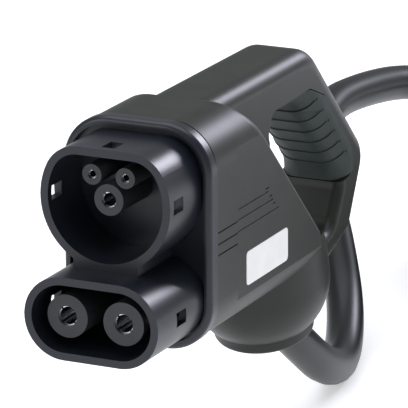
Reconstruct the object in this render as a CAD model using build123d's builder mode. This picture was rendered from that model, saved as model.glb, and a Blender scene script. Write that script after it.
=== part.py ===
"""Combined AC/DC vehicle charging plug with its loop handle, its contacts and its cable.

Frame: millimetres, +Z up.  The origin is on the axis of the earth contact, in the
plane of the upper shroud's rim.  The plug mates towards -Y, +X is the label side.
"""
from build123d import *
import math
import os

# ---------------------------------------------------------------- driving sizes
# upper (signal and earth) shroud: a round shroud with a flattened top
round_radius = 31.2
round_flat = 23.3
round_corner = 16.5
round_wall = 3.6
round_depth = 31.5
# lower (direct current) shroud: an oblong shroud that stands further forward
oblong_half_width = 32.2
oblong_half_height = 18.7
oblong_wall = 3.5
oblong_lead = 14.8
oblong_depth = 44.0
oblong_drop = 50.0
# face plate with its raised rim, and the spigot behind it
plate_front = 33.0
plate_thickness = 4.0
rim_front = 29.4
rim_half_width = 36.0
rim_top = 29.2
rim_bottom = -73.5
rim_corner = 22.5
rim_wall = 3.4
rim_depth = 7.1
spigot_length = 9.0
spigot_wall = 2.6
seal_thickness = 1.8
fit_gap = 0.15
seal_recess = 1.2
carrier_corner = 12.0
carrier_width = 54.0
signal_carrier_middle = 0.5
signal_carrier_height = 43.0
power_carrier_middle = -47.0
power_carrier_height = 38.0
shoulder_thickness = 2.0
shoulder_height = 1.5
tip_gap = 0.5
# lock windows through the shrouds
window_front = 3.6
window_length = 9.2
window_width = 6.4
# bridge between the shrouds
bridge_half_width = 15.6
bridge_front = 0.0
bridge_top = -24.0
# contacts: pin radii of the inlet that they take, sockets, insulating tubes
earth_pin_radius = 3.0
signal_pin_radius = 1.5
power_pin_radius = 4.0
socket_wall = 1.3
earth_tube_radius = 7.0
signal_tube_radius = 4.6
power_tube_radius = 9.7
power_tube_flange = 1.5
tube_lip = 1.2
signal_offset = 8.0
signal_rise = 10.5
power_pitch = 27.0
round_tube_front = 3.8
power_tube_front = -10.2
socket_depth = 28.0
slot_share = 0.25
slot_length = 14.0
barrel_length = 14.0
carrier_thickness = 9.0
retainer_thickness = 3.0
# housing
wall = 3.2
body_half_width = 35.0
body_top = 28.6
body_floor = -72.6
body_corner = 21.0
wedge_line = 103.5
wedge_round = 7.0
# loop handle
handle_half_width = 17.0
handle_round = 8.0
hole_edge_round = 5.0
grip_round = 11.0
bar_inner_line = 174.0
bar_outer_line = 208.5
root_y = 60.0
root_z = -30.0
knee_y = 244.0
heel_y = 225.0
heel_z = -73.0
foot_y = 196.0
foot_z = -83.5
hole_top = 4.0
hole_bottom = -66.0
hole_front = 124.0
hole_low = 178.0
hole_back = 216.0
hole_round = 11.0
# rounding of the side view at the top's front and rear, knee, heel and foot, and at the root
loop_rounds = [9.0, 24.0, 15.0, 16.0, 16.0, 9.0, 9.0]
form_reach = 20.0
# round outlet under the body, its closing cap and the boot in it
tail_y = 153.0
outlet_y = 160.0
outlet_z = -100.0
outlet_tilt = 15.0
outlet_radius = 34.0
outlet_mouth_radius = 23.6
outlet_height = 24.0
cap_thickness = 5.0
boot_offset = 5.5
boot_wall = 2.6
boot_inner = 21.0
boot_outer = 14.0
boot_flange = 3.0
bore_gap = 0.1
# clamp on the cable, with its screws and the boss they go into
clamp_gap = 1.0
clamp_length = 10.0
clamp_height = 12.0
clamp_half_width = 15.5
clamp_screw_x = 12.6
clamp_screw_radius = 1.5
clamp_thread = 4.0
clamp_space = 1.5
boss_reach = 16.0
# side of the body: crease, grooves
crease_y = 59.6
crease_step = 0.7
# each groove on the label side: where it starts, where it stops, its height
groove_lines = [
    (61.0, 92.0, -15.5),
    (39.0, 97.0, -20.3),
    (39.0, 103.0, -25.6),
    (39.0, 59.6, -30.5),
    (89.5, 92.5, -13.9),
    (93.5, 96.0, -18.2),
    (97.0, 99.5, -22.5),
]
groove_width = 0.6
groove_depth = 0.4
# grip pad: line on the bar where it starts, how far it sinks in and stands proud, ribs, dimples
pad_depth = 1.6
pad_proud = 0.4
pad_seam = 0.5
rib_first = 126.4
rib_step = 9.4
rib_count = 6
rib_width = 0.9
rib_height = 0.5
rib_reach = 181.0
dimple_line = 185.3
dimple_first = 127.4
dimple_step = 9.5
dimple_radius = 0.8
# screws behind the contact carriers
screw_radius = 1.5
screw_head_radius = 2.8
screw_head_height = 1.8
screw_thread = 3.0
# resistor board and temperature sensors
board_thickness = 1.6
sensor_length = 6.0
sensor_wall = 1.6
# cable and its cores
cable_radius = 9.5
cable_dip = 36.0
cable_inside = 34.0
power_core_radius = 3.5
earth_core_radius = 2.6
signal_core_radius = 1.3
core_lead = 8.0
core_bend = 12.0
power_turn = 112.0
signal_turn = 84.0
coil_x = 92.0
coil_y = 495.0
coil_radius = 112.0
coil_layers = 3
floor_z = -168.5

os.makedirs("parts", exist_ok=True)

housing_front = rim_front + rim_depth + seal_thickness


def save(piece, label):
    piece.part.label = label
    export_step(piece.part, f"parts/{label}.step")


def xz(y):
    """Sketch plane across the plug at depth y; its normal points back, its x towards -X."""
    return Plane(origin=(0, y, 0), x_dir=(-1, 0, 0), z_dir=(0, 1, 0))


def round_outline(inset=0.0):
    """Face of the upper shroud: a circle cut by a flat top with rounded corners."""
    radius = round_radius - inset
    flat = round_flat - inset
    chord = math.sqrt(radius**2 - flat**2)
    with BuildSketch() as face:
        Circle(radius)
        with Locations((0, flat + radius)):
            Rectangle(4 * radius, 2 * radius, mode=Mode.SUBTRACT)
        corners = face.vertices().filter_by(lambda v: abs(v.Y - flat) < 0.01)
        fillet(corners, round_corner - inset)
    return face.sketch


def oblong_outline(inset=0.0):
    """Face of the lower shroud: an oblong with full round ends."""
    with BuildSketch() as face:
        with Locations((0, -oblong_drop)):
            SlotOverall(2 * (oblong_half_width - inset), 2 * (oblong_half_height - inset))
    return face.sketch


def frame_outline(inset=0.0):
    """Face of the rim, the seal and the spigot behind the plate."""
    middle = (rim_top + rim_bottom) / 2
    with BuildSketch() as face:
        with Locations((0, middle)):
            RectangleRounded(
                2 * (rim_half_width - inset),
                rim_top - rim_bottom - 2 * inset,
                rim_corner - inset,
            )
    return face.sketch


def screw_positions(name):
    """(-x, z) of the screws that hold a carrier and its retainer."""
    if name == "signal_carrier":
        return [(21.0, -13.0), (-21.0, -13.0), (21.0, 13.0), (-21.0, 13.0)]
    return [(0.0, -33.5), (0.0, -60.5)]


# ---------------------------------------------------------------- mating frame
plate_back = plate_front + plate_thickness
round_floor = round_depth
oblong_floor = oblong_depth - oblong_lead

with BuildPart() as mating_frame:
    with BuildSketch(xz(rim_front)) as s:
        add(frame_outline())
    extrude(amount=rim_depth)
    fillet(mating_frame.faces().sort_by(Axis.Y)[0].edges(), 2.6)
    with BuildSketch(xz(rim_front)) as s:
        add(frame_outline(rim_wall))
    extrude(amount=plate_front - rim_front, mode=Mode.SUBTRACT)
    with BuildSketch(xz(rim_front + rim_depth)) as s:
        add(frame_outline(wall + fit_gap))
        add(frame_outline(wall + fit_gap + spigot_wall), mode=Mode.SUBTRACT)
    extrude(amount=seal_thickness + spigot_length)
    with BuildSketch(xz(0)) as s:
        add(round_outline())
    extrude(amount=plate_back)
    with BuildSketch(xz(bridge_front)) as s:
        with Locations((0, (bridge_top - oblong_drop + oblong_half_height) / 2)):
            Rectangle(2 * bridge_half_width, bridge_top + oblong_drop - oblong_half_height + 4)
    extrude(amount=plate_back - bridge_front)
    with BuildSketch(xz(-oblong_lead)) as s:
        add(oblong_outline())
    extrude(amount=plate_back + oblong_lead)
    with BuildSketch(xz(0)) as s:
        add(round_outline(round_wall))
    extrude(amount=round_floor, mode=Mode.SUBTRACT)
    with BuildSketch(xz(-oblong_lead)) as s:
        add(oblong_outline(oblong_wall))
    extrude(amount=oblong_depth, mode=Mode.SUBTRACT)
    # windows that the vehicle's lock pins reach through
    window_middle = window_front + window_length / 2
    with Locations((0, window_middle, 0), (0, window_middle, -oblong_drop)):
        Box(4 * round_radius, window_length, window_width, mode=Mode.SUBTRACT)
    with Locations((0, window_middle, round_flat)):
        Box(window_width, window_length, 4 * round_wall, mode=Mode.SUBTRACT)
    # holes in the two floors for the insulating tubes
    with BuildSketch(xz(oblong_floor)) as s:
        with Locations((0, 0)):
            Circle(earth_tube_radius + fit_gap)
        with Locations((signal_offset, signal_rise), (-signal_offset, signal_rise)):
            Circle(signal_tube_radius + fit_gap)
        with Locations((power_pitch / 2, -oblong_drop), (-power_pitch / 2, -oblong_drop)):
            Circle(power_tube_radius + fit_gap)
    extrude(amount=plate_back - oblong_floor, mode=Mode.SUBTRACT)
    # threads for the screws behind the carriers
    with BuildSketch(xz(plate_back - screw_thread)) as s:
        with Locations(*screw_positions("signal_carrier"), *screw_positions("power_carrier")):
            Circle(screw_radius)
    extrude(amount=screw_thread, mode=Mode.SUBTRACT)
save(mating_frame, "mating_frame")

# ---------------------------------------------------------------- seal behind the rim
with BuildPart() as frame_seal:
    with BuildSketch(xz(rim_front + rim_depth)) as s:
        add(frame_outline(seal_recess))
        add(frame_outline(wall), mode=Mode.SUBTRACT)
    extrude(amount=seal_thickness)
save(frame_seal, "frame_seal")


# ---------------------------------------------------------------- contact carriers
def tube_positions(name):
    """(x, z, tube radius, pin radius, tube front) of each contact in a carrier."""
    if name == "signal_carrier":
        return [
            (0.0, 0.0, earth_tube_radius, earth_pin_radius, round_tube_front),
            (signal_offset, signal_rise, signal_tube_radius, signal_pin_radius, round_tube_front),
            (-signal_offset, signal_rise, signal_tube_radius, signal_pin_radius, round_tube_front),
        ]
    return [
        (side * power_pitch / 2, -oblong_drop, power_tube_radius, power_pin_radius, power_tube_front)
        for side in (1, -1)
    ]


def socket_radius(pin_radius):
    return pin_radius + socket_wall


def contact_bore(x, z, pin, front):
    """Room in an insulator for one contact: lip opening, socket bore and shoulder seat."""
    back = plate_back + carrier_thickness
    with BuildPart() as room:
        with BuildSketch(xz(front)) as s:
            with Locations((-x, z)):
                Circle(pin + tip_gap)
        extrude(amount=tube_lip)
        with BuildSketch(xz(front + tube_lip)) as s:
            with Locations((-x, z)):
                Circle(socket_radius(pin) + fit_gap)
        extrude(amount=back - front - tube_lip)
        with BuildSketch(xz(back - shoulder_thickness)) as s:
            with Locations((-x, z)):
                Circle(socket_radius(pin) + shoulder_height + fit_gap)
        extrude(amount=shoulder_thickness)
    return room.part


def carrier_plate(name, middle, width, height):
    """Insulating plate behind the face plate, with its screw holes."""
    with BuildPart() as plate:
        with BuildSketch(xz(plate_back)) as s:
            with Locations((0, middle)):
                RectangleRounded(width, height, carrier_corner)
            with Locations(*screw_positions(name)):
                Circle(screw_radius + bore_gap, mode=Mode.SUBTRACT)
        extrude(amount=carrier_thickness)
    return plate.part


def retainer(name, label, middle, width, height):
    """Plate screwed behind a carrier that keeps the socket shoulders seated."""
    with BuildPart() as body:
        with BuildSketch(xz(plate_back + carrier_thickness)) as s:
            with Locations((0, middle)):
                RectangleRounded(width, height, carrier_corner)
            for x, z, tube, pin, front in tube_positions(name):
                with Locations((-x, z)):
                    Circle(socket_radius(pin) + fit_gap, mode=Mode.SUBTRACT)
            with Locations(*screw_positions(name)):
                Circle(screw_radius + bore_gap, mode=Mode.SUBTRACT)
        extrude(amount=retainer_thickness)
    save(body, label)


def socket(label, x, z, pin, front, core):
    """Turned contact: slotted socket in front, shoulder, crimp barrel behind."""
    radius = socket_radius(pin)
    start = front + tube_lip
    shoulder = plate_back + carrier_thickness - shoulder_thickness
    end = plate_back + carrier_thickness + retainer_thickness + barrel_length
    with BuildPart() as body:
        with BuildSketch(xz(start)) as s:
            with Locations((-x, z)):
                Circle(radius)
        extrude(amount=end - start)
        with BuildSketch(xz(shoulder)) as s:
            with Locations((-x, z)):
                Circle(radius + shoulder_height)
        extrude(amount=shoulder_thickness)
        with BuildSketch(xz(start)) as s:
            with Locations((-x, z)):
                Circle(pin)
        extrude(amount=socket_depth, mode=Mode.SUBTRACT)
        with BuildSketch(xz(end - barrel_length)) as s:
            with Locations((-x, z)):
                Circle(core)
        extrude(amount=barrel_length, mode=Mode.SUBTRACT)
        with Locations((x, start + slot_length / 2, z)):
            for turn in (45, 135):
                Box(slot_share * pin, slot_length, 3 * radius, rotation=(0, turn, 0), mode=Mode.SUBTRACT)
    save(body, label)
    return body


# earth and signal contacts: one insulator, a plate with three tubes
with BuildPart() as signal_carrier:
    add(carrier_plate("signal_carrier", signal_carrier_middle, carrier_width, signal_carrier_height))
    for x, z, tube, pin, front in tube_positions("signal_carrier"):
        with BuildSketch(xz(front)) as s:
            with Locations((-x, z)):
                Circle(tube)
        extrude(amount=plate_back - front)
    for x, z, tube, pin, front in tube_positions("signal_carrier"):
        add(contact_bore(x, z, pin, front), mode=Mode.SUBTRACT)
save(signal_carrier, "signal_carrier")

# power contacts: a plate that holds two flanged insulating sleeves
flange_front = plate_back + carrier_thickness - shoulder_thickness
with BuildPart() as power_carrier:
    add(carrier_plate("power_carrier", power_carrier_middle, carrier_width, power_carrier_height))
    for x, z, tube, pin, front in tube_positions("power_carrier"):
        with BuildSketch(xz(plate_back)) as s:
            with Locations((-x, z)):
                Circle(tube + fit_gap)
        extrude(amount=carrier_thickness, mode=Mode.SUBTRACT)
        with BuildSketch(xz(flange_front)) as s:
            with Locations((-x, z)):
                Circle(tube + power_tube_flange + fit_gap)
        extrude(amount=shoulder_thickness, mode=Mode.SUBTRACT)
save(power_carrier, "power_carrier")

for label, (x, z, tube, pin, front) in zip(("plus_sleeve", "minus_sleeve"), tube_positions("power_carrier")):
    with BuildPart() as sleeve:
        with BuildSketch(xz(front)) as s:
            with Locations((-x, z)):
                Circle(tube)
        extrude(amount=plate_back + carrier_thickness - front)
        with BuildSketch(xz(flange_front)) as s:
            with Locations((-x, z)):
                Circle(tube + power_tube_flange)
        extrude(amount=shoulder_thickness)
        add(contact_bore(x, z, pin, front), mode=Mode.SUBTRACT)
    save(sleeve, label)

retainer("signal_carrier", "signal_retainer", signal_carrier_middle, carrier_width, signal_carrier_height)
retainer("power_carrier", "power_retainer", power_carrier_middle, carrier_width, power_carrier_height)
sockets = {
    "earth_socket": (0.0, 0.0, earth_pin_radius, round_tube_front, earth_core_radius),
    "pilot_socket": (signal_offset, signal_rise, signal_pin_radius, round_tube_front, signal_core_radius),
    "proximity_socket": (
        -signal_offset,
        signal_rise,
        signal_pin_radius,
        round_tube_front,
        signal_core_radius,
    ),
    "plus_socket": (power_pitch / 2, -oblong_drop, power_pin_radius, power_tube_front, power_core_radius),
    "minus_socket": (-power_pitch / 2, -oblong_drop, power_pin_radius, power_tube_front, power_core_radius),
}
for label, sizes in sockets.items():
    socket(label, *sizes)


# ---------------------------------------------------------------- housing with its loop handle
def outlet_plane(rise=0.0):
    """Plane across the tilted outlet; its normal points up the outlet's axis."""
    tilt = math.radians(outlet_tilt)
    up = Vector(0, -math.sin(tilt), math.cos(tilt))
    return Plane(origin=Vector(0, outlet_y, outlet_z) + up * rise, x_dir=(1, 0, 0), z_dir=up)


def body_form(inset=0.0):
    """Wedge-shaped body: a rounded section, cut by the sloping back and a round tail."""
    middle = (body_top + body_floor) / 2
    half = body_half_width - inset
    with BuildPart() as form:
        with BuildSketch(xz(housing_front)) as s:
            with Locations((0, middle)):
                RectangleRounded(2 * half, body_top - body_floor - 2 * inset, body_corner - inset)
        extrude(amount=tail_y + body_half_width - housing_front)
        slope = wedge_line - inset * math.sqrt(2)
        with BuildSketch(Plane.YZ.offset(-2 * half)) as s:
            with BuildLine() as l:
                Polyline(
                    (slope - 2 * body_top, 2 * body_top),
                    (slope + 400, -400),
                    (slope + 400, 2 * body_top),
                    close=True,
                )
            make_face()
        extrude(amount=4 * half, mode=Mode.SUBTRACT)
        if inset == 0:
            sloping = form.faces().filter_by(lambda f: abs(f.normal_at().Y - math.sqrt(0.5)) < 0.01)
            fillet(sloping.edges(), wedge_round)
        with BuildSketch(Plane.XY.offset(2 * body_floor)) as s:
            with Locations((0, (tail_y + crease_y) / 2)):
                Rectangle(2 * (half - crease_step), tail_y - crease_y)
            with Locations((0, (crease_y + housing_front) / 2)):
                Rectangle(2 * half, crease_y - housing_front)
            with Locations((0, tail_y)):
                Circle(half - crease_step)
        extrude(amount=-4 * body_floor, mode=Mode.INTERSECT)
    return form.part


def slope_cutter(inset=0.0):
    """Everything behind the sloping back of the body."""
    slope = wedge_line - inset * math.sqrt(2)
    reach = 200.0
    with BuildPart() as cutter:
        with BuildSketch(Plane.YZ.offset(-2 * body_half_width)) as s:
            with BuildLine() as l:
                Polyline((slope - reach, reach), (slope + reach, -reach), (slope + reach, reach), close=True)
            make_face()
        extrude(amount=4 * body_half_width)
    return cutter.part


def outlet_form(inset=0.0):
    """Round outlet below the body, narrowing to its mouth, turned about the tilted axis."""
    mouth = outlet_plane()
    radius = outlet_radius - inset
    mouth_radius = outlet_mouth_radius - inset
    side = Plane(origin=mouth.origin, x_dir=(1, 0, 0), z_dir=-mouth.y_dir)
    with BuildPart() as form:
        with BuildSketch(side) as s:
            with BuildLine() as l:
                ThreePointArc(
                    (mouth_radius, 0),
                    (radius - 3.2, outlet_height * 0.42),
                    (radius, outlet_height),
                )
                Polyline((radius, outlet_height), (radius, 2 * outlet_height), (0, 2 * outlet_height))
                Polyline((0, 2 * outlet_height), (0, 0), (mouth_radius, 0))
            make_face()
        revolve(axis=Axis(mouth.origin, mouth.z_dir))
        add(slope_cutter(inset), mode=Mode.SUBTRACT)
    return form.part


def loop_outline(grow=0.0):
    """Side view (y, z) of the handle: top bar, sloping grip bar and heel, filled in."""
    with BuildSketch() as face:
        with BuildLine() as l:
            FilletPolyline(
                (root_y, body_top),
                (bar_outer_line - body_top, body_top),
                (knee_y, bar_outer_line - knee_y),
                (heel_y, heel_z),
                (foot_y, foot_z),
                (outlet_y, outlet_z + 8.0),
                (root_y, root_z),
                radius=loop_rounds,
                close=True,
            )
        make_face()
        if grow != 0:
            offset(amount=grow)
    return face.sketch


def hole_outline(grow=0.0):
    """Side view (y, z) of the hand hole; it shrinks as the handle grows."""
    with BuildSketch() as face:
        with BuildLine() as l:
            FilletPolyline(
                (hole_front, hole_top),
                (bar_inner_line - hole_top, hole_top),
                (hole_back, bar_inner_line - hole_back),
                (hole_back - 14.0, hole_bottom),
                (hole_low, hole_bottom),
                radius=hole_round,
                close=True,
            )
        make_face()
        if grow != 0:
            offset(amount=-grow)
    return face.sketch


def handle_form(grow=0.0):
    """Loop handle with rounded edges, moved outwards by grow all over."""
    with BuildPart() as form:
        with BuildSketch(Plane.YZ.offset(-handle_half_width - grow)) as s:
            add(loop_outline(grow))
            add(hole_outline(grow), mode=Mode.SUBTRACT)
        extrude(amount=2 * (handle_half_width + grow))
        sides = form.faces().filter_by(Axis.X)
        outer = ShapeList([e for f in sides for e in f.outer_wire().edges()])
        inner = ShapeList([e for f in sides for w in f.inner_wires() for e in w.edges()])
        fillet(outer, handle_round + grow)
        fillet(inner, hole_edge_round + grow)
    return form.part


def grip_form(grow=0.0):
    """Plate with the hand hole, its edges rounded as fully as the grip is."""
    with BuildPart() as form:
        with BuildSketch(Plane.YZ.offset(-handle_half_width - grow)) as s:
            add(loop_outline(form_reach))
            add(hole_outline(grow), mode=Mode.SUBTRACT)
        extrude(amount=2 * (handle_half_width + grow))
        sides = form.faces().filter_by(Axis.X)
        inner = ShapeList([e for f in sides for w in f.inner_wires() for e in w.edges()])
        fillet(inner, grip_round + grow)
    return form.part


def pad_prism(grow=0.0):
    """Block whose side view is the outline of the grip pad."""
    with BuildPart() as prism:
        with BuildSketch(Plane.YZ.offset(-2 * handle_half_width)) as s:
            with BuildLine() as l:
                FilletPolyline(
                    (130.0, -3.0),
                    (135.0, 8.0),
                    (176.0, 9.0),
                    (191.5, 2.5),
                    (223.5, -31.0),
                    (225.5, -42.0),
                    (214.0, -45.5),
                    (188.0, -43.0),
                    (160.0, -29.0),
                    radius=4.0,
                    close=True,
                )
            make_face()
            if grow != 0:
                offset(amount=grow)
        extrude(amount=4 * handle_half_width)
    return prism.part


def boot_plane(distance=0.0):
    """Plane across the cable where it passes the cap, normal pointing out along the cable."""
    tilt = math.radians(outlet_tilt)
    dip = math.radians(cable_dip)
    seat = Vector(0, outlet_y + boot_offset * math.cos(tilt), outlet_z + boot_offset * math.sin(tilt))
    out = Vector(0, math.cos(dip), -math.sin(dip))
    return Plane(origin=seat + out * distance, x_dir=(1, 0, 0), z_dir=out)


clamp_plane = boot_plane(-boot_inner - clamp_length - clamp_space)
screw_line = Plane(
    origin=clamp_plane.origin + clamp_plane.z_dir * (clamp_length / 2),
    x_dir=clamp_plane.x_dir,
    z_dir=-clamp_plane.y_dir,
)
clamp_bottom = clamp_height + clamp_gap / 2

with BuildPart() as clamp_boss:
    with BuildSketch(screw_line.offset(-clamp_bottom)) as s:
        Rectangle(2 * clamp_half_width, clamp_length)
    extrude(amount=-boss_reach)
    add(outlet_form(wall / 2) + body_form(wall / 2), mode=Mode.INTERSECT)

with BuildPart() as housing:
    add(handle_form())
    with BuildPart(mode=Mode.PRIVATE) as recess:
        add(pad_prism(pad_seam))
        add(handle_form(-pad_depth) & grip_form(-pad_depth), mode=Mode.SUBTRACT)
    add(recess.part, mode=Mode.SUBTRACT)
    add(body_form())
    add(outlet_form())
    add(body_form(wall), mode=Mode.SUBTRACT)
    add(outlet_form(wall), mode=Mode.SUBTRACT)
    with BuildSketch(xz(housing_front)) as s:
        add(frame_outline(wall))
    extrude(amount=spigot_length + 1, mode=Mode.SUBTRACT)
    add(clamp_boss.part)
    with BuildSketch(screw_line.offset(-clamp_bottom)) as s:
        with Locations((clamp_screw_x, 0), (-clamp_screw_x, 0)):
            Circle(clamp_screw_radius)
    extrude(amount=-clamp_thread, mode=Mode.SUBTRACT)
    with BuildSketch(boot_plane(-boot_inner / 2)) as s:
        Circle(cable_radius + boot_wall + fit_gap)
    extrude(amount=boot_inner / 2 + boot_outer, mode=Mode.SUBTRACT)
    # thin grooves along the label side
    rear = body_half_width - crease_step
    for start, stop, z in groove_lines:
        depth = groove_depth + crease_step
        with Locations((rear - groove_depth + depth / 2, (start + stop) / 2, z)):
            Box(depth, stop - start, groove_width, mode=Mode.SUBTRACT)
save(housing, "housing")

# ---------------------------------------------------------------- rubber boot and closing cap
with BuildPart() as outlet_cap:
    with BuildSketch(outlet_plane(-cap_thickness)) as s:
        Circle(outlet_mouth_radius)
    extrude(amount=cap_thickness)
    fillet(outlet_cap.edges().sort_by(Axis.Z)[0], 1.5)
    with BuildSketch(outlet_plane()) as s:
        Circle(outlet_mouth_radius - wall - fit_gap)
    extrude(amount=wall)
    with BuildSketch(boot_plane(-2 * boot_inner)) as s:
        Circle(cable_radius + boot_wall + fit_gap)
    extrude(amount=4 * boot_inner, mode=Mode.SUBTRACT)
save(outlet_cap, "outlet_cap")

with BuildPart() as cable_boot:
    with BuildSketch(boot_plane(-boot_inner)) as s:
        Circle(cable_radius + boot_wall)
    extrude(amount=boot_inner + boot_outer)
    with BuildSketch(boot_plane(-boot_inner)) as s:
        Circle(cable_radius + boot_wall + boot_flange)
    extrude(amount=boot_flange)
    with BuildSketch(boot_plane(-boot_inner)) as s:
        Circle(cable_radius + bore_gap)
    extrude(amount=boot_inner + boot_outer, mode=Mode.SUBTRACT)
save(cable_boot, "cable_boot")

# ---------------------------------------------------------------- clamp on the cable inside
for label, side in (("clamp_base", 1), ("clamp_saddle", -1)):
    with BuildPart() as half:
        with BuildSketch(clamp_plane) as s:
            with Locations((0, side * (clamp_gap / 2 + clamp_height / 2))):
                Rectangle(2 * clamp_half_width, clamp_height)
            Circle(cable_radius, mode=Mode.SUBTRACT)
        extrude(amount=clamp_length)
        with BuildSketch(screw_line.offset(-clamp_bottom)) as s:
            with Locations((clamp_screw_x, 0), (-clamp_screw_x, 0)):
                Circle(clamp_screw_radius + bore_gap)
        extrude(amount=2 * clamp_bottom, mode=Mode.SUBTRACT)
    save(half, label)

with BuildPart() as clamp_screws:
    with BuildSketch(screw_line.offset(-clamp_bottom - clamp_thread)) as s:
        with Locations((clamp_screw_x, 0), (-clamp_screw_x, 0)):
            Circle(clamp_screw_radius)
    extrude(amount=clamp_thread + 2 * clamp_bottom)
    with BuildSketch(screw_line.offset(clamp_bottom)) as s:
        with Locations((clamp_screw_x, 0), (-clamp_screw_x, 0)):
            Circle(screw_head_radius)
    extrude(amount=screw_head_height)
save(clamp_screws, "clamp_screws")

# ---------------------------------------------------------------- screws behind the contact carriers
retainer_back = plate_back + carrier_thickness + retainer_thickness
with BuildPart() as retainer_screws:
    places = screw_positions("signal_carrier") + screw_positions("power_carrier")
    with BuildSketch(xz(plate_back - screw_thread)) as s:
        with Locations(*places):
            Circle(screw_radius)
    extrude(amount=retainer_back - plate_back + screw_thread)
    with BuildSketch(xz(retainer_back)) as s:
        with Locations(*places):
            Circle(screw_head_radius)
    extrude(amount=screw_head_height)
save(retainer_screws, "retainer_screws")

# ---------------------------------------------------------------- resistor board, temperature sensors
with BuildPart() as resistor_board:
    with BuildSketch(xz(retainer_back)) as s:
        with Locations((19.0, 2.0)):
            Rectangle(9.0, 13.0)
    extrude(amount=board_thickness)
    with BuildSketch(xz(retainer_back + board_thickness)) as s:
        with Locations((19.0, 2.0)):
            Rectangle(2.6, 6.4)
    extrude(amount=1.8)
save(resistor_board, "resistor_board")

for label, side in (("plus_sensor", -1), ("minus_sensor", 1)):
    barrel = socket_radius(power_pin_radius)
    with BuildPart() as sensor:
        with BuildSketch(xz(retainer_back + sensor_length)) as s:
            with Locations((side * power_pitch / 2, -oblong_drop)):
                Circle(barrel + sensor_wall)
            with Locations((side * power_pitch / 2, -oblong_drop + barrel + sensor_wall)):
                Rectangle(5.0, 5.0)
            with Locations((side * power_pitch / 2, -oblong_drop)):
                Circle(barrel, mode=Mode.SUBTRACT)
        extrude(amount=sensor_length)
    save(sensor, label)

# ---------------------------------------------------------------- grip pad round the sloping bar
with BuildPart() as grip_pad:
    add(handle_form(pad_proud))
    add(grip_form(pad_proud), mode=Mode.INTERSECT)
    with BuildPart(mode=Mode.PRIVATE) as ribs:
        bar = Plane(origin=(0, 0, 0), x_dir=(1, 0, 0), z_dir=(0, math.sqrt(0.5), -math.sqrt(0.5)))
        for i in range(rib_count):
            with BuildSketch(bar.offset(rib_first + i * rib_step)) as s:
                with Locations((0, -(bar_inner_line + rib_reach) / 2 / math.sqrt(2))):
                    Rectangle(4 * handle_half_width, (rib_reach - bar_inner_line + 6.0) / math.sqrt(2))
            extrude(amount=rib_width)
        add(handle_form(pad_proud + rib_height), mode=Mode.INTERSECT)
        add(grip_form(pad_proud + rib_height), mode=Mode.INTERSECT)
    add(ribs.part)
    add(pad_prism(), mode=Mode.INTERSECT)
    add(handle_form(-pad_depth) & grip_form(-pad_depth), mode=Mode.SUBTRACT)
    for i in range(rib_count):
        along = (dimple_first + i * dimple_step) * math.sqrt(2)
        y = (dimple_line + along) / 2
        z = (dimple_line - along) / 2
        with Locations((0, y, z)):
            for side in (1, -1):
                with Locations((side * (handle_half_width + pad_proud), 0, 0)):
                    Cylinder(dimple_radius, 1.2, rotation=(0, 90, 0), mode=Mode.SUBTRACT)
save(grip_pad, "grip_pad")


# ---------------------------------------------------------------- cores from the sockets to the cable
cable_end = boot_plane(-cable_inside)


def sweep_tube(path, radius):
    """Round bar of the given radius along a path."""
    with BuildPart() as tube:
        with BuildSketch(Plane(origin=path @ 0, z_dir=path % 0)) as s:
            Circle(radius)
        sweep(path=path)
    return tube


# x and z of each barrel, radius, where the core turns down, where it enters the cable: across and up
cores = {
    "plus_core": (power_pitch / 2, -oblong_drop, power_core_radius, power_turn, 4.3, -2.2),
    "minus_core": (-power_pitch / 2, -oblong_drop, power_core_radius, power_turn, -4.3, -2.2),
    "earth_core": (0.0, 0.0, earth_core_radius, signal_turn, 0.0, 4.9),
    "pilot_core": (signal_offset, signal_rise, signal_core_radius, signal_turn, 5.0, 4.8),
    "proximity_core": (-signal_offset, signal_rise, signal_core_radius, signal_turn, -5.0, 4.8),
}
for label, (x, z, radius, turn_y, across, up) in cores.items():
    end = cable_end.origin + cable_end.x_dir * across - cable_end.y_dir * up
    lead = end - cable_end.z_dir * core_lead
    with BuildLine() as l:
        path = FilletPolyline(
            (x, retainer_back, z),
            (x, turn_y, z),
            lead,
            end,
            radius=core_bend,
        )
    tube = sweep_tube(path, radius - bore_gap)
    save(tube, label)


# ---------------------------------------------------------------- cable and its coil
seat = boot_plane()
cable_route = [
    cable_end.origin,
    seat.origin,
    seat.origin + seat.z_dir * 40 + Vector(0.2, 0, 0),
    Vector(-3, 238, -149),
    Vector(-14, 284, -162),
    Vector(-31, 328, -148),
    Vector(-48, 352, -120),
    Vector(-62, 366, -97),
    Vector(-77, 392, -80),
    Vector(-88, 432, -72.5),
    Vector(-88, 482, -76),
    Vector(-85, 530, -83),
    Vector(-68, 570, -94),
    Vector(-38, 599, -106),
    Vector(2, 616, -115),
    Vector(42, 622, -120),
    Vector(76, 625, -121),
]
radii = []
for before, here, after in zip(cable_route, cable_route[1:], cable_route[2:]):
    turn = (here - before).get_angle(after - here)
    run = min((here - before).length, (after - here).length)
    radii.append(0.45 * run / math.tan(math.radians(turn) / 2))
print("cord radii", [round(r) for r in radii])
with BuildLine() as l:
    cable_path = FilletPolyline(*cable_route, radius=radii)
cable = sweep_tube(cable_path, cable_radius)
save(cable, "cable")

with BuildPart() as cable_coil:
    half_section = coil_layers * cable_radius
    with BuildSketch(Plane(origin=(coil_x, coil_y, floor_z), x_dir=(1, 0, 0), z_dir=(0, -1, 0))) as s:
        with Locations((coil_radius, half_section)):
            RectangleRounded(2 * half_section, 2 * half_section, cable_radius)
    revolve(axis=Axis((coil_x, coil_y, floor_z), (0, 0, 1)))
    add(cable.part, mode=Mode.SUBTRACT)
save(cable_coil, "cable_coil")
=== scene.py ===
"""Combined AC/DC vehicle charging plug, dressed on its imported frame."""

import math

import bpy
from mathutils import Matrix, Vector


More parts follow.
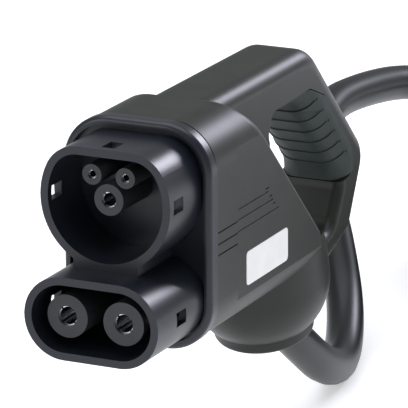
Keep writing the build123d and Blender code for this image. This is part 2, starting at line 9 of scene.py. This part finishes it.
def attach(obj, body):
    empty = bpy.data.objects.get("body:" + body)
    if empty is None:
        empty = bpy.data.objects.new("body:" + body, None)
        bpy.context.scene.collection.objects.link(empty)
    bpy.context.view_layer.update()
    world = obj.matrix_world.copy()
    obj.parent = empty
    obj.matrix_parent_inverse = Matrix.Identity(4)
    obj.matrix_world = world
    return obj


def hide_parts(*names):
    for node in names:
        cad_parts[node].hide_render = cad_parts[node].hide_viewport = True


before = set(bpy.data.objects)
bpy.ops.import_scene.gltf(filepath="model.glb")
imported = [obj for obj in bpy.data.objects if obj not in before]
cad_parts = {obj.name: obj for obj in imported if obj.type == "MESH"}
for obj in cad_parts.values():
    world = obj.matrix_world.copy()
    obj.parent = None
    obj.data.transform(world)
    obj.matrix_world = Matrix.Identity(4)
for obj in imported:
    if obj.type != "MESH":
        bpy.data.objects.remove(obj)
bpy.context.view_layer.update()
MM = 0.001
FLOOR_HEIGHT = -168.5

# ---------------------------------------------------------------- finishes
PATCH_DETAIL = 3.0
GRAIN_DETAIL = 2.0
GLOSS_DETAIL = 4.0


def colour(code):
    """sRGB hex code to linear red, green, blue, alpha."""
    parts = [int(code[i : i + 2], 16) / 255 for i in (1, 3, 5)]
    return [c / 12.92 if c <= 0.04045 else ((c + 0.055) / 1.055) ** 2.4 for c in parts] + [1.0]


def add_node(tree, kind, settings=None, links=None):
    """One node with its settings; links maps an input to a value or to another node's output."""
    node = tree.nodes.new(kind)
    for name, value in (settings or {}).items():
        setattr(node, name, value)
    for name, value in (links or {}).items():
        if isinstance(value, bpy.types.NodeSocket):
            tree.links.new(value, node.inputs[name])
        else:
            node.inputs[name].default_value = value
    return node


def new_finish(name, roughness, specular=0.5, metallic=0.0):
    """Empty material with its shader and its object coordinates."""
    material = bpy.data.materials.new(name)
    material.use_nodes = True
    tree = material.node_tree
    tree.nodes.clear()
    shader = add_node(
        tree,
        "ShaderNodeBsdfPrincipled",
        links={"Roughness": roughness, "Specular IOR Level": specular, "Metallic": metallic},
    )
    add_node(tree, "ShaderNodeOutputMaterial", links={"Surface": shader.outputs["BSDF"]})
    coordinates = add_node(tree, "ShaderNodeTexCoord")
    return material, tree, shader, coordinates.outputs["Object"]


def noise(tree, place, size_mm, detail):
    """Cloudy pattern whose patches are size_mm across."""
    node = add_node(
        tree,
        "ShaderNodeTexNoise",
        links={"Vector": place, "Scale": 1 / (size_mm * MM), "Detail": detail},
    )
    return node.outputs["Fac"]


def mottle(tree, place, shader, dark, light, size_mm):
    """Soft variation between two colours; size_mm is the size of a patch."""
    patches = noise(tree, place, size_mm, PATCH_DETAIL)
    ramp = add_node(tree, "ShaderNodeValToRGB", links={"Fac": patches})
    for stop, position, code in zip(ramp.color_ramp.elements, (0.3, 0.7), (dark, light)):
        stop.position = position
        stop.color = colour(code)
    tree.links.new(ramp.outputs["Color"], shader.inputs["Base Color"])


def relief(tree, shader, pattern, height_mm, strength=1.0):
    """Bump of a pattern, height_mm from its lowest point to its highest."""
    bump = add_node(
        tree,
        "ShaderNodeBump",
        links={"Height": pattern, "Distance": height_mm * MM, "Strength": strength},
    )
    tree.links.new(bump.outputs["Normal"], shader.inputs["Normal"])


def gloss_patches(tree, place, shader, low, high, size_mm):
    """Slight differences in gloss from handling."""
    patches = noise(tree, place, size_mm, GLOSS_DETAIL)
    span = add_node(
        tree, "ShaderNodeMapRange", links={"Value": patches, "To Min": low, "To Max": high}
    )
    tree.links.new(span.outputs["Result"], shader.inputs["Roughness"])


def moulded(
    name, dark, light, patch_mm, pit_mm, depth_mm, roughness, specular=0.5, metallic=0.0, gloss=None
):
    """Mottled colour under a fine grain; gloss is the lowest and highest roughness and its patch size."""
    material, tree, shader, place = new_finish(name, roughness, specular, metallic)
    mottle(tree, place, shader, dark, light, patch_mm)
    relief(tree, shader, noise(tree, place, pit_mm, GRAIN_DETAIL), depth_mm)
    if gloss:
        gloss_patches(tree, place, shader, *gloss)
    return material


def turned_silver():
    """Silver-plated copper, turned: bright, with fine rings along the contact."""
    material, tree, shader, place = new_finish("silver_plate", 0.22, metallic=1.0)
    mottle(tree, place, shader, "#c3c5c8", "#dcdee0", 3)
    rings = add_node(
        tree,
        "ShaderNodeTexWave",
        {"wave_type": "BANDS", "bands_direction": "Y"},
        {"Vector": place, "Scale": 600.0, "Distortion": 0.6},
    )
    relief(tree, shader, rings.outputs["Fac"], 0.02, 0.6)
    return material


def core_insulation(name, dark, light):
    """Rubber insulation of one core, satin."""
    return moulded(name, dark, light, 5, 0.6, 0.008, roughness=0.45)


def pale_paper():
    """Matt white paper that glows a little, so that it stays pale under soft light."""
    material, tree, shader, place = new_finish("pale_paper", 0.9, specular=0.0)
    mottle(tree, place, shader, "#f4f4f4", "#f8f8f8", 300)
    shader.inputs["Emission Color"].default_value = colour("#ffffff")
    shader.inputs["Emission Strength"].default_value = 0.42
    return material


# Glass-filled polyamide from an eroded mould: soft, wide highlights on a warm grey-black.
housing_plastic = moulded(
    "moulded_polyamide", "#1b1e1a", "#22251f", 14, 0.7, 0.012, 0.42, 0.36, gloss=(0.38, 0.46, 25)
)

# The same plastic from a polished mould, glossier; its colour is darker and bluer than the housing's as
# painted shade of the deep recess inside the frame.
frame_plastic_and_recess_shade = moulded(
    "polished_polyamide_recess_shade", "#161b23", "#1b2028", 12, 1.1, 0.006, 0.33, 0.42, gloss=(0.30, 0.37, 18)
)

# Grey polybutylene terephthalate of the contact insulators: an even satin.
insulator_plastic = moulded("grey_insulator", "#2b2c2e", "#323336", 9, 0.8, 0.006, 0.42, 0.36)

# Nitrile rubber seal: matt black rubber, its colour made darker still as painted shade of the gap between
# frame and housing.
seal_rubber_and_gap_shade = moulded("nitrile_seal_and_gap_shade", "#060607", "#0b0b0c", 6, 0.6, 0.01, 0.75, 0.25)

# Thermoplastic elastomer of the grip: green-grey, matt, finely pebbled.
grip_rubber = moulded("grip_elastomer", "#2a3230", "#323b38", 10, 0.8, 0.03, 0.62, 0.35)

# Extruded polyurethane sheath: satin, with long soft reflections.
cable_sheath = moulded("polyurethane_sheath", "#0f1213", "#15191a", 30, 1.6, 0.02, 0.38, 0.3)

# Chloroprene boot round the cable: matt black.
boot_rubber = moulded("chloroprene_boot", "#17191a", "#1f2122", 8, 0.7, 0.02, 0.6, 0.3)

# Unpainted inner mouldings: plain mid grey.
inner_plastic = moulded("inner_moulding", "#5a5a58", "#64645f", 8, 0.9, 0.01, 0.5)

# Zinc-plated steel screws: bright, faintly cloudy.
screw_steel = moulded("zinc_plated_steel", "#a5a7a9", "#c2c4c4", 1.5, 0.4, 0.006, 0.3, metallic=1.0)

# Glass-epoxy circuit board: green and smooth.
board_green = moulded("glass_epoxy_board", "#1f5a34", "#276b40", 2, 0.5, 0.01, 0.35)

# Pale moulded housings of the temperature sensors.
sensor_plastic = moulded("sensor_housing", "#c9c8c0", "#d6d5cd", 3, 0.5, 0.006, 0.45)

# White vinyl of the blank label: smooth, with a faint sheen.
label_vinyl = moulded("white_vinyl", "#efefec", "#f6f6f4", 9, 0.9, 0.004, 0.35)

contact_metal = turned_silver()
core_red = core_insulation("core_red", "#8e1c1c", "#a52323")
core_black = core_insulation("core_black", "#161616", "#202020")
core_green = core_insulation("core_green_yellow", "#3f7d2a", "#c9c22a")
core_white = core_insulation("core_white", "#c7c7c4", "#d8d8d5")

finishes = (
    (frame_plastic_and_recess_shade, ("mating_frame",)),
    (seal_rubber_and_gap_shade, ("frame_seal",)),
    (insulator_plastic, ("signal_carrier", "power_carrier", "plus_sleeve", "minus_sleeve")),
    (inner_plastic, ("signal_retainer", "power_retainer", "clamp_base", "clamp_saddle")),
    (contact_metal, ("earth_socket", "pilot_socket", "proximity_socket", "plus_socket", "minus_socket")),
    (housing_plastic, ("housing", "outlet_cap")),
    (grip_rubber, ("grip_pad",)),
    (boot_rubber, ("cable_boot",)),
    (screw_steel, ("clamp_screws", "retainer_screws")),
    (board_green, ("resistor_board",)),
    (sensor_plastic, ("plus_sensor", "minus_sensor")),
    (core_red, ("plus_core",)),
    (core_black, ("minus_core",)),
    (core_green, ("earth_core",)),
    (core_white, ("pilot_core", "proximity_core")),
    (cable_sheath, ("cable", "cable_coil")),
)
for finish, nodes in finishes:
    for node in nodes:
        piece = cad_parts[node]
        piece.data.materials.clear()
        piece.data.materials.append(finish)

# ---------------------------------------------------------------- cable on one smooth line
CABLE_DIAMETER = 19 * MM
route = [
    (0.0, 155.604, -91.523),
    (0.0, 165.313, -98.577),
    (0.2, 197.673, -122.088),
    (-3, 238, -149),
    (-14, 284, -162),
    (-31, 328, -148),
    (-48, 352, -120),
    (-62, 366, -97),
    (-77, 392, -80),
    (-88, 432, -72.5),
    (-88, 482, -76),
    (-85, 530, -83),
    (-68, 570, -94),
    (-38, 599, -106),
    (2, 616, -115),
    (42, 622, -120),
    (76, 625, -121),
]

# The coil: its middle, the radius of its middle turns, and where the route joins it.
COIL_MIDDLE = Vector((92, 495, 0))
COIL_RADIUS = 112
COIL_START = math.radians(97.0)
COIL_LAYERS = 3
POINTS_A_TURN = 16
# Share of a turn after which the cable moves over to the next turn.
SHIFT_START = 0.86
# The spline of order 3 runs inside its points, at this share of their radius.
SPLINE_SHARE = 0.75 + 0.25 * math.cos(2 * math.pi / POINTS_A_TURN)


def coil_turns():
    """Radius and height of each turn: inwards on top, outwards in the middle, inwards at the bottom."""
    pitch = CABLE_DIAMETER / MM
    turns = []
    for layer in range(COIL_LAYERS):
        height = FLOOR_HEIGHT + pitch * (COIL_LAYERS - layer - 0.5)
        steps = (-1, 0, 1) if layer % 2 else (1, 0, -1)
        turns += [(COIL_RADIUS + step * pitch, height) for step in steps]
    return turns


def coil_points():
    """Points of the cable's own spline round the coil, in millimetres."""
    turns = coil_turns()
    points = []
    for i in range(1, len(turns) * POINTS_A_TURN):
        turn, step = divmod(i, POINTS_A_TURN)
        radius, height = turns[turn]
        next_radius, next_height = turns[min(turn + 1, len(turns) - 1)]
        shift = max(0.0, (step / POINTS_A_TURN - SHIFT_START) / (1 - SHIFT_START))
        reach = (radius + (next_radius - radius) * shift) / SPLINE_SHARE
        height += (next_height - height) * shift
        angle = COIL_START - 2 * math.pi * i / POINTS_A_TURN
        points.append(COIL_MIDDLE + Vector((reach * math.cos(angle), reach * math.sin(angle), height)))
    return points


def cable_curve(points):
    """Round cable along one NURBS spline through the given control points."""
    curve = bpy.data.curves.new("charging_cable", "CURVE")
    curve.dimensions = "3D"
    spline = curve.splines.new("NURBS")
    spline.points.add(len(points) - 1)
    for control, point in zip(spline.points, points):
        control.co = (*(Vector(point) * MM), 1.0)
    spline.order_u = 3
    spline.use_endpoint_u = True
    spline.resolution_u = 8
    curve.bevel_depth = CABLE_DIAMETER / 2
    curve.bevel_resolution = 6
    curve.use_fill_caps = True
    curve.materials.append(cable_sheath)
    cable = bpy.data.objects.new("charging_cable", curve)
    bpy.context.collection.objects.link(cable)
    return cable


charging_cable = cable_curve(route + coil_points())
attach(charging_cable, "root")
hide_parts("cable", "cable_coil")

# ---------------------------------------------------------------- blank label on the side
LABEL_MIDDLE = Vector((34.45, 90.75, -45.25)) * MM
LABEL_HEIGHT = 15.5 * MM
LABEL_LENGTH = 43.5 * MM
LABEL_CORNER = 2 * MM
LABEL_THICKNESS = 0.3 * MM


def blank_label():
    """Thin plate with rounded corners, half sunk into the side of the housing."""
    bpy.ops.object.select_all(action="DESELECT")
    bpy.ops.mesh.primitive_plane_add(size=1, location=LABEL_MIDDLE, rotation=(0, math.pi / 2, 0))
    label = bpy.context.object
    label.name = "blank_label"
    label.scale = (LABEL_HEIGHT, LABEL_LENGTH, 1)
    bpy.ops.object.transform_apply(location=True, rotation=True, scale=True)
    bpy.ops.object.mode_set(mode="EDIT")
    bpy.ops.mesh.select_all(action="SELECT")
    bpy.ops.mesh.bevel(affect="VERTICES", offset=LABEL_CORNER, segments=4)
    bpy.ops.object.mode_set(mode="OBJECT")
    solidify = label.modifiers.new("thickness", "SOLIDIFY")
    solidify.thickness = LABEL_THICKNESS
    solidify.offset = 0
    bpy.ops.object.modifier_apply(modifier="thickness")
    label.data.materials.append(label_vinyl)
    return label


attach(blank_label(), "root")

# ---------------------------------------------------------------- studio: floor, lights, camera
TARGET = Vector((18.1, 60.0, -14.7)) * MM
FLOOR_SIZE = 30
AIR_GLOW = 0.4
AZIMUTH = math.radians(25.83)
ELEVATION = math.radians(16.53)
ROLL = math.radians(-0.37)
CAMERA_DISTANCE = 1.803
LENS_LENGTH = 362.0
SENSOR_WIDTH = 36


def paper_floor():
    """Paper sweep that the cable lies on."""
    bpy.ops.object.select_all(action="DESELECT")
    bpy.ops.mesh.primitive_plane_add(size=FLOOR_SIZE, location=(0, 0, FLOOR_HEIGHT * MM))
    floor = bpy.context.object
    floor.name = "paper_floor"
    floor.data.materials.append(pale_paper())
    return floor


def studio_air():
    """Even cool light from all round."""
    world = bpy.data.worlds.new("studio_air")
    world.use_nodes = True
    glow = world.node_tree.nodes["Background"].inputs
    glow["Color"].default_value = colour("#f4f6fa")
    glow["Strength"].default_value = AIR_GLOW
    bpy.context.scene.world = world


def softbox(name, place, side, power, tint):
    """Square lamp at place that shines towards the part."""
    lamp = bpy.data.lights.new(name, "AREA")
    lamp.shape = "RECTANGLE"
    lamp.size = side
    lamp.size_y = side
    lamp.energy = power
    lamp.color = colour(tint)[:3]
    holder = bpy.data.objects.new(name, lamp)
    bpy.context.collection.objects.link(holder)
    turn = (TARGET - place).to_track_quat("-Z", "Y")
    holder.matrix_world = Matrix.Translation(place) @ turn.to_matrix().to_4x4()


def long_lens():
    """Camera at its azimuth and elevation round the target, turned by its small roll."""
    back = Vector(
        (
            math.sin(AZIMUTH) * math.cos(ELEVATION),
            -math.cos(AZIMUTH) * math.cos(ELEVATION),
            math.sin(ELEVATION),
        )
    )
    level = Vector((0, 0, 1)).cross(back).normalized()
    upright = back.cross(level)
    right = level * math.cos(ROLL) + upright * math.sin(ROLL)
    up = upright * math.cos(ROLL) - level * math.sin(ROLL)
    lens = bpy.data.cameras.new("long_lens")
    lens.sensor_width = SENSOR_WIDTH
    lens.lens = LENS_LENGTH
    lens.clip_end = 50
    camera = bpy.data.objects.new("camera", lens)
    bpy.context.collection.objects.link(camera)
    view = Matrix((right, up, back)).transposed().to_4x4()
    camera.matrix_world = Matrix.Translation(TARGET + back * CAMERA_DISTANCE) @ view
    return camera


paper_floor()
studio_air()
softbox("overhead_box", Vector((-0.2, 0.1, 1.6)), side=1.8, power=22, tint="#f4f6ff")
softbox("rear_box", TARGET + Vector((0.27, 0.86, 0.42)) * 1.7, side=0.5, power=14, tint="#f0f0ff")
softbox("front_box", Vector((-1.0, -1.3, 0.6)), side=0.8, power=7, tint="#ffffff")
bpy.context.scene.camera = long_lens()
bpy.context.scene.view_settings.view_transform = "Standard"
